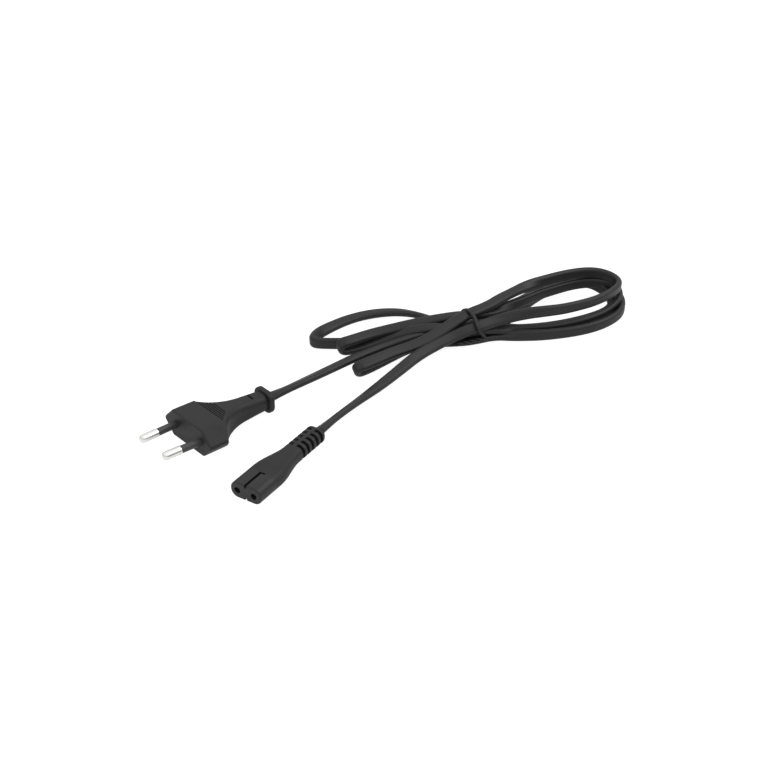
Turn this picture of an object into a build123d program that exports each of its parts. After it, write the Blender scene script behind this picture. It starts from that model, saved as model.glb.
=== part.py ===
"""Two-pin mains cord: moulded two-pin plug, flat two-core cord tied in a hank, figure-eight connector.

Millimetres, +Z up. The origin is the middle of the plug's flat underside, on the surface that the cord
lies on. The pins point along -X, the cord leaves the plug along +X.
"""
from build123d import *

import os
from math import atan2, cos, degrees, radians, sin, sqrt, tan

# Plug head: a six-sided bar, flat above and below, ridged at both sides, thinner towards the cord. It lies on its
# lower flat, so the whole plug tilts by the draft of that flat
PLUG_THICKNESS = 13.7
HEAD_DRAFT = 1.7
PLUG_FLAT_WIDTH = 23.0
PLUG_EDGE_RADIUS = 1.5
PLUG_TIP_RADIUS = 1.7
HEAD_LENGTH = 12.5
RIDGE_LENGTH = 10.0
FACE_FILLET = 0.9

# Plug neck: tapers on an arc, ribbed behind the head, and ends in a flange
NECK_ROOT_WIDTH = 26.0
NECK_END_WIDTH = 9.6
NECK_ROOT_HEIGHT = 12.4
NECK_END_HEIGHT = 8.6
NECK_TAPER_LENGTH = 17.65
NECK_STRAIGHT_LENGTH = 12.0
NECK_ROOT_CORNER = 2.2
NECK_END_CORNER = 3.7
NECK_STATIONS = 9
RIB_COUNT = 5
RIB_PITCH = 1.25
RIB_GROOVE = 0.55
RIB_DEPTH = 0.45
RIB_FIRST_WIDTH = 18.6
RIB_LAST_WIDTH = 9.4
FLEX_SLOT_WIDTH = 4.4
FLEX_SLOT_LENGTH = 1.0
FLEX_SLOT_DEPTH = 1.0
FLEX_SLOT_FROM_FLANGE = 6.9
FLANGE_LENGTH = 2.9
FLANGE_WIDTH = 12.8
FLANGE_HEIGHT = 11.0
FLANGE_CORNER = 3.8
FLANGE_FILLET = 0.8

# Pins, their sleeves and the carrier that they are moulded into
PIN_DIAMETER = 4.0
PIN_SHANK_DIAMETER = 3.0
PIN_LENGTH = 19.0
PIN_BARE_LENGTH = 9.0
PIN_TIP_ROUND = 1.5
PIN_PITCH_AT_FACE = 18.6
PIN_PITCH_AT_TIP = 17.5
PIN_HEAD_DIAMETER = 5.0
PIN_HEAD_LENGTH = 1.5
SLEEVE_DIAMETER = 3.6
SLEEVE_INSET = 2.5
BRIDGE_WIDTH = 25.0
BRIDGE_HEIGHT = 7.0
BRIDGE_LENGTH = 4.5
BRIDGE_INSET = 2.0
BRIDGE_CORNER = 1.5
CRIMP_LENGTH = 2.8
CRIMP_DIAMETER = 2.2
CRIMP_GRIP = 2.2

# Flat two-core cord and its cores
CORD_WIDTH = 6.0
CORD_THICKNESS = 3.7
CORE_DIAMETER = 2.1
CORE_PITCH = 2.2
CONDUCTOR_DIAMETER = 1.1
CORE_BEND_RADIUS = 3.5
CORE_STRAIGHT = 5.0
CORE_GAP = 0.6
PLUG_CORD_INSERTION = 14.0

# Connector: a hard nose with two round entries, in a soft body with a slotted strain relief
CONNECTOR_X = -11.55
CONNECTOR_Y = -49.8
CONNECTOR_YAW = 15.34
CONNECTOR_WIDTH = 16.0
CONNECTOR_THICKNESS = 8.0
CONNECTOR_CORNER = 3.7
CONNECTOR_FRONT_FILLET = 0.7
NOSE_LENGTH = 11.5
NOSE_GROOVE_WIDTH = 1.3
NOSE_GROOVE_DEPTH = 1.5
NOSE_HOOK_LENGTH = 2.4
NOSE_HOOK_WIDTH = 0.9
NOSE_HOOK_DEPTH = 0.8
TENON_WIDTH = 12.8
TENON_HEIGHT = 5.4
TENON_LENGTH = 5.0
TENON_CORNER = 1.2
HOLE_PITCH = 8.6
ENTRY_DIAMETER = 3.0
ENTRY_DEPTH = 2.0
CONTACT_BORE = 2.44
CONTACT_WALL = 0.45
CONTACT_CLEARANCE = 0.05
CONTACT_LENGTH = 8.5
CONTACT_SLIT = 0.5
BODY_STRAIGHT_LENGTH = 4.0
BODY_TAPER_LENGTH = 18.0
BODY_STATIONS = 7
RELIEF_LENGTH = 20.0
RELIEF_WIDTH = 9.6
RELIEF_HEIGHT = 7.2
RELIEF_CORNER = 3.1
RELIEF_END_FILLET = 2.2
RELIEF_CORE_WIDTH = 6.9
RELIEF_CORE_HEIGHT = 4.7
RELIEF_CORE_CORNER = 2.2
RELIEF_SPINE = 1.9
RELIEF_SLOTS = 5
RELIEF_SLOT_PITCH = 3.4
RELIEF_SLOT_LENGTH = 1.8
RELIEF_FIRST_SLOT = 2.7
CONNECTOR_CORD_INSERTION = 13.8

# Hank: place of its tie, and the strands there, two wide and four high
TIE_X = 158.4
TIE_Y = -22.0
HANK_HEADING = -17.0
STRAND_PITCH_ACROSS = 6.4
STRAND_PITCH_UP = 4.4
STRAND_ROWS = 4
WAIST_LENGTH = 16.0
WAIST_CORNER = 1.8
BAND_OVERLAP = 0.1
FOLD_GAP = 5.0

# Loops of the hank, as circles that a band is drawn round: along, across, radius of the cord's outside
TOP_LOOP = ((8.0, 0.0, 4.6), (47.0, 0.2, 17.4), (66.6, 0.8, 16.8))
LOWER_LOOPS = ((8.5, 0.0, 5.4), (48.0, 2.4, 22.4), (65.6, 2.2, 22.6))
LEFT_LOOP = ((-8.0, 2.5, 5.6), (-42.0, 29.0, 13.6), (-66.0, 30.0, 13.0))
LEFT_LOOP_HEIGHT = 7.4
FAR_FOLD_END = (-73.0, 15.5, 5.2)
NEAR_FOLD_END = (-73.0, -7.5, 5.0)

# Twist tie: a flat plastic-coated wire round the waist, its ends twisted together
TIE_THICKNESS = 0.9
TIE_WIDTH = 2.2
TIE_TAIL_DIAMETER = 2.2
TIE_TAIL_LENGTH = 15.0
TIE_TAIL_SHIFT = -2.0
TIE_TAIL_HEIGHT = 2.4

# Routes of the two free stretches: a straight run out of the plug or connector, then these points to the hank
EXIT_RUN = 12.0
PLUG_LEAD = [(64.0, 0.1, 4.6), (79.0, 0.2, 4.4), (94.0, -0.5, 4.5), (108.0, -4.4, 5.1)]
CONNECTOR_LEAD = [(68.0, -28.7, 3.6), (83.0, -25.8, 3.3), (97.0, -23.2, 3.5), (109.0, -23.3, 4.3)]
ARC_SHARE = 0.45

# Places that follow from the sizes above
FACE_X = -HEAD_LENGTH / 2
HEAD_BACK = HEAD_LENGTH / 2
NECK_LENGTH = NECK_TAPER_LENGTH + NECK_STRAIGHT_LENGTH
FLANGE_FRONT = HEAD_BACK + NECK_LENGTH
PLUG_BACK = FLANGE_FRONT + FLANGE_LENGTH
TIP_HALF = PLUG_FLAT_WIDTH / 2 + PLUG_THICKNESS / 2 - PLUG_TIP_RADIUS * (sqrt(2) - 1)
HEAD_BACK_THICKNESS = PLUG_THICKNESS - 2 * HEAD_LENGTH * tan(radians(HEAD_DRAFT))
HEAD_MIDDLE = (PLUG_THICKNESS + HEAD_BACK_THICKNESS) / 4
PLUG_PLACE = Location((HEAD_MIDDLE * sin(radians(HEAD_DRAFT)), 0, HEAD_MIDDLE * cos(radians(HEAD_DRAFT))),
                      (0, HEAD_DRAFT, 0))
PIN_TOE_IN = degrees(atan2((PIN_PITCH_AT_FACE - PIN_PITCH_AT_TIP) / 2, PIN_LENGTH))
CONNECTOR_LENGTH = NOSE_LENGTH + BODY_STRAIGHT_LENGTH + BODY_TAPER_LENGTH + RELIEF_LENGTH
CONNECTOR_PLACE = Location((CONNECTOR_X, CONNECTOR_Y, CONNECTOR_THICKNESS / 2), (0, 0, CONNECTOR_YAW))
HANK_PLACE = Location((TIE_X, TIE_Y, 0), (0, 0, HANK_HEADING))
WAIST_WIDTH = STRAND_PITCH_ACROSS + CORD_WIDTH
WAIST_HEIGHT = STRAND_PITCH_UP * (STRAND_ROWS - 1) + CORD_THICKNESS
WAIST_MIDDLE = TIE_THICKNESS + WAIST_HEIGHT / 2


def across(x, z=0.0):
    """Plane that stands across the X axis at x, its middle at height z, with Y as its first axis."""
    return Plane(origin=(x, 0, z), x_dir=(0, 1, 0), z_dir=(1, 0, 0))


def bar(face, x_start, x_end, z=0.0):
    """Straight bar along X, at height z, of a face drawn on the plane across X."""
    return extrude(across(x_start, z) * face, x_end - x_start)


def cord_section():
    """Flat oval of the cord, wide side along the first axis."""
    return SlotOverall(CORD_WIDTH, CORD_THICKNESS)


def smoothstep(t):
    """Ease from 0 to 1, level at both ends."""
    return t * t * (3 - 2 * t)


def mix(start, end, t):
    """Value a share t of the way from start to end."""
    return start + (end - start) * t


def neck_size(x):
    """Width, height and corner radius of the neck at x: the width follows an arc, then runs straight."""
    drop = (NECK_ROOT_WIDTH - NECK_END_WIDTH) / 2
    radius = (NECK_TAPER_LENGTH ** 2 + drop ** 2) / (2 * drop)
    left = max(HEAD_BACK + NECK_TAPER_LENGTH - x, 0)
    width = NECK_END_WIDTH + 2 * (radius - sqrt(radius ** 2 - left ** 2))
    t = (x - HEAD_BACK) / NECK_LENGTH
    return width, mix(NECK_ROOT_HEIGHT, NECK_END_HEIGHT, t), mix(NECK_ROOT_CORNER, NECK_END_CORNER, t)


def plug_head():
    """Six-sided head, its flats tapered from the face, trimmed at its shoulders by its outline in plan."""
    flat = PLUG_FLAT_WIDTH / 2
    half = PLUG_THICKNESS / 2
    back_half = HEAD_BACK_THICKNESS / 2
    tip = flat + half
    outline = Polyline((flat, half), (-flat, half), (-tip, 0), (-flat, -half), (flat, -half), (tip, 0), close=True)
    face = make_face(outline)
    face = fillet(face.vertices().filter_by(lambda v: abs(v.Y) < half / 2), PLUG_TIP_RADIUS)
    side_view = Polyline((FACE_X, half), (HEAD_BACK, back_half), (HEAD_BACK, -back_half), (FACE_X, -half), close=True)
    wedge = extrude(Plane.XZ * make_face(side_view), tip, both=True)
    head = bar(face, FACE_X, HEAD_BACK) & wedge
    layers = head.faces().sort_by(Axis.Z)
    sides = [e for f in (layers[0], layers[-1]) for e in f.edges() if abs(e.center().Y) > flat / 2]
    head = fillet(sides, PLUG_EDGE_RADIUS)
    head = fillet(head.faces().sort_by(Axis.X)[0].edges(), FACE_FILLET)
    ridge_end = FACE_X + RIDGE_LENGTH
    shoulder = NECK_ROOT_WIDTH / 2
    plan = Polyline((FACE_X, -tip), (ridge_end, -tip), (ridge_end, -TIP_HALF), (HEAD_BACK, -shoulder),
                    (HEAD_BACK, shoulder), (ridge_end, TIP_HALF), (ridge_end, tip), (FACE_X, tip), close=True)
    return head & extrude(make_face(plan), PLUG_THICKNESS, both=True)


def plug_neck():
    """Neck lofted through rounded rectangles, with cross ribs behind the head and a slot before the flange."""
    sections = []
    for k in range(NECK_STATIONS):
        x = HEAD_BACK + NECK_LENGTH * k / (NECK_STATIONS - 1)
        width, height, corner = neck_size(x)
        sections.append(across(x) * RectangleRounded(width, height, corner))
    neck = loft(sections)
    cuts = []
    for k in range(RIB_COUNT):
        x = HEAD_BACK + RIB_PITCH * (k + 0.5)
        width = mix(RIB_FIRST_WIDTH, RIB_LAST_WIDTH, k / (RIB_COUNT - 1))
        height = neck_size(x)[1]
        for side in (-1, 1):
            cuts.append(Pos(x, 0, side * height / 2) * Box(RIB_GROOVE, width, 2 * RIB_DEPTH))
    x = FLANGE_FRONT - FLEX_SLOT_FROM_FLANGE
    height = neck_size(x)[1]
    for side in (-1, 1):
        cuts.append(Pos(x, 0, side * height / 2) * Box(FLEX_SLOT_LENGTH, FLEX_SLOT_WIDTH, 2 * FLEX_SLOT_DEPTH))
    return neck - cuts


def plug_flange():
    """Rounded flange that ends the neck."""
    face = RectangleRounded(FLANGE_WIDTH, FLANGE_HEIGHT, FLANGE_CORNER)
    flange = bar(face, FLANGE_FRONT, PLUG_BACK)
    ends = flange.faces().sort_by(Axis.X)
    return fillet(ends[0].edges() + ends[-1].edges(), FLANGE_FILLET)


def pin_plane(side):
    """Plane at the root of a pin, on the face of the plug, with its normal out along the pin."""
    toe = radians(PIN_TOE_IN)
    return Plane(origin=(FACE_X, side * PIN_PITCH_AT_FACE / 2, 0), x_dir=(0, 0, 1),
                 z_dir=(-cos(toe), -side * sin(toe), 0))


def rod(radius, start, end):
    """Round rod along Z from start to end."""
    return Pos(0, 0, start) * Cylinder(radius, end - start, align=(Align.CENTER, Align.CENTER, Align.MIN))


def crimp_end():
    """Distance of the end of a pin's crimp behind the face."""
    return BRIDGE_INSET + BRIDGE_LENGTH + CRIMP_LENGTH


def pin(side):
    """Solid pin: rounded bare end, thinner shank, a head held in the carrier and a crimp for the conductor."""
    shank_end = PIN_LENGTH - PIN_BARE_LENGTH
    bare = rod(PIN_DIAMETER / 2, shank_end, PIN_LENGTH)
    bare = fillet(bare.edges().sort_by(Axis.Z)[-1], PIN_TIP_ROUND)
    shank = rod(PIN_SHANK_DIAMETER / 2, -BRIDGE_INSET - BRIDGE_LENGTH, shank_end)
    head_end = -BRIDGE_INSET - BRIDGE_LENGTH / 2 + PIN_HEAD_LENGTH / 2
    head = rod(PIN_HEAD_DIAMETER / 2, head_end - PIN_HEAD_LENGTH, head_end)
    crimp = rod(CRIMP_DIAMETER / 2, -crimp_end(), -BRIDGE_INSET - BRIDGE_LENGTH)
    hole = rod(CONDUCTOR_DIAMETER / 2, -crimp_end(), CRIMP_GRIP - crimp_end())
    return pin_plane(side) * (bare + shank + head + crimp - hole)


def pin_sleeve(side):
    """Insulating sleeve on the root of a pin, let into the carrier."""
    shank_end = PIN_LENGTH - PIN_BARE_LENGTH
    tube = rod(SLEEVE_DIAMETER / 2, -SLEEVE_INSET, shank_end) - rod(PIN_SHANK_DIAMETER / 2, -SLEEVE_INSET, shank_end)
    return pin_plane(side) * tube


def plug_bridge(held):
    """Rigid carrier across the plug, moulded round the pins."""
    block = RectangleRounded(BRIDGE_WIDTH, BRIDGE_HEIGHT, BRIDGE_CORNER)
    start = FACE_X + BRIDGE_INSET
    return bar(block, start, start + BRIDGE_LENGTH) - held


def swept(section, points, radius):
    """Section swept along straight runs joined by tangent arcs, started square to the first run."""
    path = FilletPolyline(*points, radius=radius)
    start = Plane(origin=path @ 0, x_dir=Vector(0, 0, 1).cross(path % 0), z_dir=path % 0)
    return sweep(start * section, path=path)


def wire_pair(points, trim):
    """Insulated core, and the conductor in it that sticks out at the far end of the route by trim."""
    last = Vector(*points[-1])
    back = (Vector(*points[-2]) - last).normalized()
    core_ring = Circle(CORE_DIAMETER / 2) - Circle(CONDUCTOR_DIAMETER / 2)
    core = swept(core_ring, points[:-1] + [tuple(last + back * trim)], CORE_BEND_RADIUS)
    conductor = swept(Circle(CONDUCTOR_DIAMETER / 2), points, CORE_BEND_RADIUS)
    return core, conductor


def plug_wires(side):
    """Core and conductor from the end of the cord's sheath to the crimp of a pin."""
    root = pin_plane(side)
    bend = root.from_local_coords(Vector(0, 0, -crimp_end() - CORE_GAP - CORE_DIAMETER))
    end = root.from_local_coords(Vector(0, 0, CRIMP_GRIP - crimp_end()))
    sheath = PLUG_BACK - PLUG_CORD_INSERTION
    offset = side * CORE_PITCH / 2
    points = [(sheath, offset, 0), (sheath - CORE_STRAIGHT, offset, 0), tuple(bend), tuple(end)]
    return wire_pair(points, CRIMP_GRIP + CORE_GAP)


def body_size(x):
    """Width, height and corner radius of the connector's soft body at x behind its front face."""
    t = min(max((x - NOSE_LENGTH - BODY_STRAIGHT_LENGTH) / BODY_TAPER_LENGTH, 0), 1)
    ease = smoothstep(t)
    return (mix(CONNECTOR_WIDTH, RELIEF_WIDTH, ease), mix(CONNECTOR_THICKNESS, RELIEF_HEIGHT, ease),
            mix(CONNECTOR_CORNER, RELIEF_CORNER, ease))


def connector_insert():
    """Hard nose: rounded bar, grooved above and below, with two stepped entries and a tenon behind."""
    nose = bar(RectangleRounded(CONNECTOR_WIDTH, CONNECTOR_THICKNESS, CONNECTOR_CORNER), 0, NOSE_LENGTH)
    nose = fillet(nose.faces().sort_by(Axis.X)[0].edges(), CONNECTOR_FRONT_FILLET)
    tenon = bar(RectangleRounded(TENON_WIDTH, TENON_HEIGHT, TENON_CORNER), NOSE_LENGTH, NOSE_LENGTH + TENON_LENGTH)
    cuts = []
    for side in (-1, 1):
        surface = side * CONNECTOR_THICKNESS / 2
        groove = Box(NOSE_LENGTH, NOSE_GROOVE_WIDTH, 2 * NOSE_GROOVE_DEPTH)
        hook = Box(NOSE_HOOK_WIDTH, NOSE_HOOK_LENGTH, 2 * NOSE_HOOK_DEPTH)
        cuts.append(Pos(NOSE_LENGTH / 2, 0, surface) * groove)
        cuts.append(Pos(NOSE_LENGTH - NOSE_HOOK_WIDTH / 2, -side * NOSE_HOOK_LENGTH / 2, surface) * hook)
        entry = bar(Pos(side * HOLE_PITCH / 2, 0) * Circle(ENTRY_DIAMETER / 2), 0, ENTRY_DEPTH)
        chamber_face = Pos(side * HOLE_PITCH / 2, 0) * Circle(contact_radius() + CONTACT_CLEARANCE)
        cuts += [entry, bar(chamber_face, ENTRY_DEPTH, NOSE_LENGTH + TENON_LENGTH)]
    return nose + tenon - cuts


def contact_radius():
    """Outside radius of a contact."""
    return CONTACT_BORE / 2 + CONTACT_WALL


def contact(side):
    """Rolled contact: slit spring tube in front, closed web, and a crimp for the conductor behind."""
    centre = Pos(side * HOLE_PITCH / 2, 0)
    tube_end = ENTRY_DEPTH + CONTACT_LENGTH
    outer = bar(centre * Circle(contact_radius()), ENTRY_DEPTH, tube_end + CONTACT_WALL)
    bore = bar(centre * Circle(CONTACT_BORE / 2), ENTRY_DEPTH, tube_end)
    slit = Pos(ENTRY_DEPTH + CONTACT_LENGTH / 2, side * HOLE_PITCH / 2, contact_radius())
    slit *= Box(CONTACT_LENGTH, CONTACT_SLIT, 2 * contact_radius())
    crimp = bar(centre * Circle(CRIMP_DIAMETER / 2), tube_end + CONTACT_WALL, contact_end())
    hole = bar(centre * Circle(CONDUCTOR_DIAMETER / 2), contact_end() - CRIMP_GRIP, contact_end())
    return outer - bore - slit + crimp - hole


def contact_end():
    """Distance of the end of a contact's crimp behind the front face."""
    return ENTRY_DEPTH + CONTACT_LENGTH + CONTACT_WALL + CRIMP_LENGTH


def connector_wires(side):
    """Core and conductor from the end of the cord's sheath to the crimp of a contact."""
    sheath = CONNECTOR_LENGTH - CONNECTOR_CORD_INSERTION
    tenon_end = NOSE_LENGTH + TENON_LENGTH
    offset = side * CORE_PITCH / 2
    line = side * HOLE_PITCH / 2
    points = [(sheath, offset, 0), (sheath - CORE_STRAIGHT, offset, 0), (tenon_end + CORE_STRAIGHT, line, 0),
              (contact_end() - CRIMP_GRIP, line, 0)]
    return wire_pair(points, tenon_end - contact_end() + CRIMP_GRIP + CORE_GAP)


def connector_body():
    """Soft body lofted from the nose's outline down to the strain relief, which is slotted at both sides."""
    sections = []
    taper_start = NOSE_LENGTH + BODY_STRAIGHT_LENGTH
    relief_start = taper_start + BODY_TAPER_LENGTH
    for k in range(BODY_STATIONS):
        x = taper_start + BODY_TAPER_LENGTH * k / (BODY_STATIONS - 1)
        sections.append(across(x) * RectangleRounded(*body_size(x)))
    straight = bar(RectangleRounded(*body_size(NOSE_LENGTH)), NOSE_LENGTH, taper_start)
    relief = bar(RectangleRounded(RELIEF_WIDTH, RELIEF_HEIGHT, RELIEF_CORNER), relief_start, CONNECTOR_LENGTH)
    relief = fillet(relief.faces().sort_by(Axis.X)[-1].edges(), RELIEF_END_FILLET)
    core = RectangleRounded(RELIEF_CORE_WIDTH, RELIEF_CORE_HEIGHT, RELIEF_CORE_CORNER)
    spine = Rectangle(RELIEF_SPINE, 2 * RELIEF_HEIGHT)
    ring = Rectangle(2 * RELIEF_WIDTH, 2 * RELIEF_HEIGHT) - core - spine
    for k in range(RELIEF_SLOTS):
        x = relief_start + RELIEF_FIRST_SLOT + RELIEF_SLOT_PITCH * k
        relief -= bar(ring, x - RELIEF_SLOT_LENGTH / 2, x + RELIEF_SLOT_LENGTH / 2)
    return straight + loft(sections) + relief


def lead(exit_place, route):
    """Tube of the cord, straight out along X of its exit and on along a route, and its path.

    Each arc is as large as its two runs allow. Prints the radii, and the volume beside section times length.
    """
    points = [tuple((exit_place * Pos(run, 0, 0)).position) for run in (0, EXIT_RUN)] + route
    radii = []
    for a, b, c in zip(points, points[1:], points[2:]):
        before = Vector(*b) - Vector(*a)
        after = Vector(*c) - Vector(*b)
        turn = radians(before.get_angle(after))
        radii.append(ARC_SHARE * min(before.length, after.length) / tan(turn / 2))
    path = FilletPolyline(*points, radius=radii)
    tube = swept(cord_section(), points, radii)
    print("lead radii", [round(r) for r in radii], "length", round(path.length, 1),
          "volume", round(tube.volume, 1), "section x length", round(cord_section().area * path.length, 1))
    return tube, path


def loop_band(circles, low, high):
    """Ring of cord standing on edge: the outline round some circles, one cord thick."""
    outer = make_hull([(Pos(x, y) * Circle(r)).edge() for x, y, r in circles])
    inner = make_hull([(Pos(x, y) * Circle(r - CORD_THICKNESS)).edge() for x, y, r in circles])
    return Pos(0, 0, low) * extrude(outer - inner, high - low)


def fold_bar(column, end):
    """Hairpin fold: two strands face to face, from the top of a column at the waist to a rounded end."""
    deep = FOLD_GAP + CORD_THICKNESS
    start = Vector(-WAIST_LENGTH / 4, column * STRAND_PITCH_ACROSS / 2, TIE_THICKNESS + WAIST_HEIGHT - deep / 2)
    run = Vector(*end) - start
    level = Vector(0, 0, 1).cross(run).normalized()
    plane = Plane(origin=start, x_dir=run, z_dir=level)
    length = run.length - deep / 2
    face = Pos(length / 2, 0) * Rectangle(length, deep) + Pos(length, 0) * Circle(deep / 2)
    return extrude(plane * face, CORD_WIDTH / 2, both=True)


def hank_tail(path):
    """Last stretch of a lead, straight on from its end into the waist of the hank."""
    heading = Plane(origin=path @ 1, x_dir=Vector(0, 0, 1).cross(path % 1), z_dir=path % 1)
    reach = (Vector(TIE_X, TIE_Y, 0) - path @ 1).length - WAIST_LENGTH / 4
    return extrude(heading * cord_section(), reach)


def cord_hank(plug_path, connector_path):
    """Outer shape of the tied hank: stacked loops, one open loop and two folds on the left, and the waist."""
    waist_face = RectangleRounded(WAIST_WIDTH, WAIST_HEIGHT, WAIST_CORNER)
    waist = bar(waist_face, -WAIST_LENGTH / 2, WAIST_LENGTH / 2, WAIST_MIDDLE)
    hank = waist + loop_band(LOWER_LOOPS, 0, 2 * CORD_WIDTH + BAND_OVERLAP)
    hank += loop_band(TOP_LOOP, 2 * CORD_WIDTH, 3 * CORD_WIDTH)
    hank += loop_band(LEFT_LOOP, 0, LEFT_LOOP_HEIGHT)
    hank += fold_bar(1, FAR_FOLD_END)
    hank += fold_bar(-1, NEAR_FOLD_END)
    return HANK_PLACE * hank + hank_tail(plug_path) + hank_tail(connector_path)


def twist_tie():
    """Flat wire round the waist, with its two ends twisted into a tail along the near side."""
    inner = RectangleRounded(WAIST_WIDTH, WAIST_HEIGHT, WAIST_CORNER)
    outer = RectangleRounded(WAIST_WIDTH + 2 * TIE_THICKNESS, WAIST_HEIGHT + 2 * TIE_THICKNESS,
                             WAIST_CORNER + TIE_THICKNESS)
    ring = bar(outer - inner, -TIE_WIDTH / 2, TIE_WIDTH / 2, WAIST_MIDDLE)
    side = -WAIST_WIDTH / 2 - TIE_TAIL_DIAMETER / 2 - TIE_THICKNESS / 2
    tail = Pos(TIE_TAIL_SHIFT, side, TIE_TAIL_HEIGHT) * Rot(0, 90, 0)
    tail *= Cylinder(TIE_TAIL_DIAMETER / 2, TIE_TAIL_LENGTH)
    tail = fillet(tail.edges().filter_by(GeomType.CIRCLE), TIE_TAIL_DIAMETER / 4)
    return HANK_PLACE * (ring + tail)


def plug_nodes():
    """Plug: overmould, pins, sleeves, carrier and wires, with the end of the cord's sheath, in place."""
    nodes = {}
    for name, side in (("left", -1), ("right", 1)):
        nodes["pin_" + name] = pin(side)
        nodes["pin_sleeve_" + name] = pin_sleeve(side)
    nodes["plug_bridge"] = plug_bridge(list(nodes.values()))
    for name, side in (("brown", -1), ("blue", 1)):
        nodes["plug_core_" + name], nodes["plug_conductor_" + name] = plug_wires(side)
    sheath = bar(cord_section(), PLUG_BACK - PLUG_CORD_INSERTION, PLUG_BACK)
    body = plug_head() + plug_neck() + plug_flange()
    nodes["plug_body"] = body - list(nodes.values()) - sheath
    placed = {name: PLUG_PLACE * shape for name, shape in nodes.items()}
    return placed, PLUG_PLACE * sheath


def connector_nodes():
    """Connector: overmould, nose, contacts and wires, with the end of the cord's sheath, in place."""
    nodes = {"connector_insert": connector_insert()}
    for name, side in (("left", -1), ("right", 1)):
        nodes["contact_" + name] = contact(side)
    for name, side in (("brown", -1), ("blue", 1)):
        nodes["connector_core_" + name], nodes["connector_conductor_" + name] = connector_wires(side)
    sheath = bar(cord_section(), CONNECTOR_LENGTH - CONNECTOR_CORD_INSERTION, CONNECTOR_LENGTH)
    tenon = bar(RectangleRounded(TENON_WIDTH, TENON_HEIGHT, TENON_CORNER), NOSE_LENGTH, NOSE_LENGTH + TENON_LENGTH)
    wires = [shape for name, shape in nodes.items() if "core" in name or "conductor" in name]
    nodes["connector_body"] = connector_body() - tenon - wires - sheath
    placed = {name: CONNECTOR_PLACE * shape for name, shape in nodes.items()}
    return placed, CONNECTOR_PLACE * sheath


def main():
    """Build every piece and write one STEP file for each."""
    nodes, plug_sheath = plug_nodes()
    connector, connector_sheath = connector_nodes()
    nodes.update(connector)
    plug_tube, plug_path = lead(PLUG_PLACE * Pos(PLUG_BACK, 0, 0), PLUG_LEAD)
    connector_tube, connector_path = lead(CONNECTOR_PLACE * Pos(CONNECTOR_LENGTH, 0, 0), CONNECTOR_LEAD)
    nodes["cord_plug_lead"] = plug_sheath + plug_tube
    nodes["cord_connector_lead"] = connector_sheath + connector_tube
    nodes["cord_hank"] = cord_hank(plug_path, connector_path)
    nodes["twist_tie"] = twist_tie()
    os.makedirs("parts", exist_ok=True)
    for name, shape in nodes.items():
        export_step(shape, f"parts/{name}.step")


if __name__ == "__main__":
    main()
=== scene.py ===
"""Two-pin mains cord, dressed over its solids: plug, flat flex tied in a hank, figure-eight connector.

Everything is in metres in the frame of the solids: +Z up, the pins along -X, and the flex leaves the
plug along +X. Sizes are written in millimetres and turned to metres where a mesh is made.
"""
import logging
import math
from abc import ABC, abstractmethod
from dataclasses import dataclass, field
from enum import Enum
from typing import Any, Sequence

import bpy
import numpy as np
from mathutils import Matrix, Vector


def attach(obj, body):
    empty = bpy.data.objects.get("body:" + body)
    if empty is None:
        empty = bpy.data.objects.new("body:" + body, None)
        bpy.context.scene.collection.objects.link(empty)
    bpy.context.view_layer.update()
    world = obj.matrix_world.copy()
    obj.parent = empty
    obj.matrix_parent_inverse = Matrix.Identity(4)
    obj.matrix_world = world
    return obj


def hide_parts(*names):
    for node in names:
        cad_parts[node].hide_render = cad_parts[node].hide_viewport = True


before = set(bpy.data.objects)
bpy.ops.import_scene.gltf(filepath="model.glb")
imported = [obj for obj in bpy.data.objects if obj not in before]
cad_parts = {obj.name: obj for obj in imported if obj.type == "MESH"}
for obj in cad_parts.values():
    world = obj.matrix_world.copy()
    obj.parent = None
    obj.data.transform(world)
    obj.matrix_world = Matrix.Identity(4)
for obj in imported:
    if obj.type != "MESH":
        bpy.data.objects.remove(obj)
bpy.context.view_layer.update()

LOG = logging.getLogger("mains_cord")
MM = 0.001
BODY = "root"
IMAGE_SIZE = 768
SHEATH_CHART = "sheath"
SPLINE_ORDER = 3
UP = np.array([0.0, 0.0, 1.0])

# The Mix node has an A, a B and a Result for each kind of data, so those of colours go by number.
MIX_A = 6
MIX_B = 7
MIX_RESULT = 2
# A noise seldom leaves this range, so a gloss that follows a noise is spread over it.
NOISE_LOW = 0.3
NOISE_HIGH = 0.7
# The wave node turns each unit of scaled length into an angle of twenty radians.
WAVE_ANGLE = 20.0

Colour = tuple[float, float, float, float]
Point = tuple[float, float, float]
LeaningPoint = tuple[float, float, float, float]


def srgb(code: str) -> Colour:
    """Turn an sRGB hex value into a linear colour, by the two-part sRGB curve.

    Args:
        code: Six hex digits with a leading hash sign.

    Returns:
        Linear red, green and blue, and an alpha of one.
    """
    values = [int(code[i:i + 2], 16) / 255.0 for i in (1, 3, 5)]
    linear = [v / 12.92 if v <= 0.04045 else ((v + 0.055) / 1.055) ** 2.4 for v in values]
    return linear[0], linear[1], linear[2], 1.0


def grey(level: float) -> Colour:
    """Linear colour with the same red, green and blue."""
    return level, level, level, 1.0


def add_node(
    tree: bpy.types.NodeTree,
    kind: str,
    inputs: dict[Any, Any] | None = None,
    **settings: Any,
) -> bpy.types.Node:
    """Add one node with its settings, its input values and its links.

    Args:
        tree: Node tree that gets the node.
        kind: Blender's name for the kind of node.
        inputs: Name of an input, or its number where names repeat, with a value or an output to link from.
        **settings: Attributes of the node.

    Returns:
        The new node.
    """
    node = tree.nodes.new(kind)
    for name, value in settings.items():
        setattr(node, name, value)
    for key, value in (inputs or {}).items():
        if isinstance(value, bpy.types.NodeSocket):
            tree.links.new(value, node.inputs[key])
        else:
            node.inputs[key].default_value = value
    return node


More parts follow.
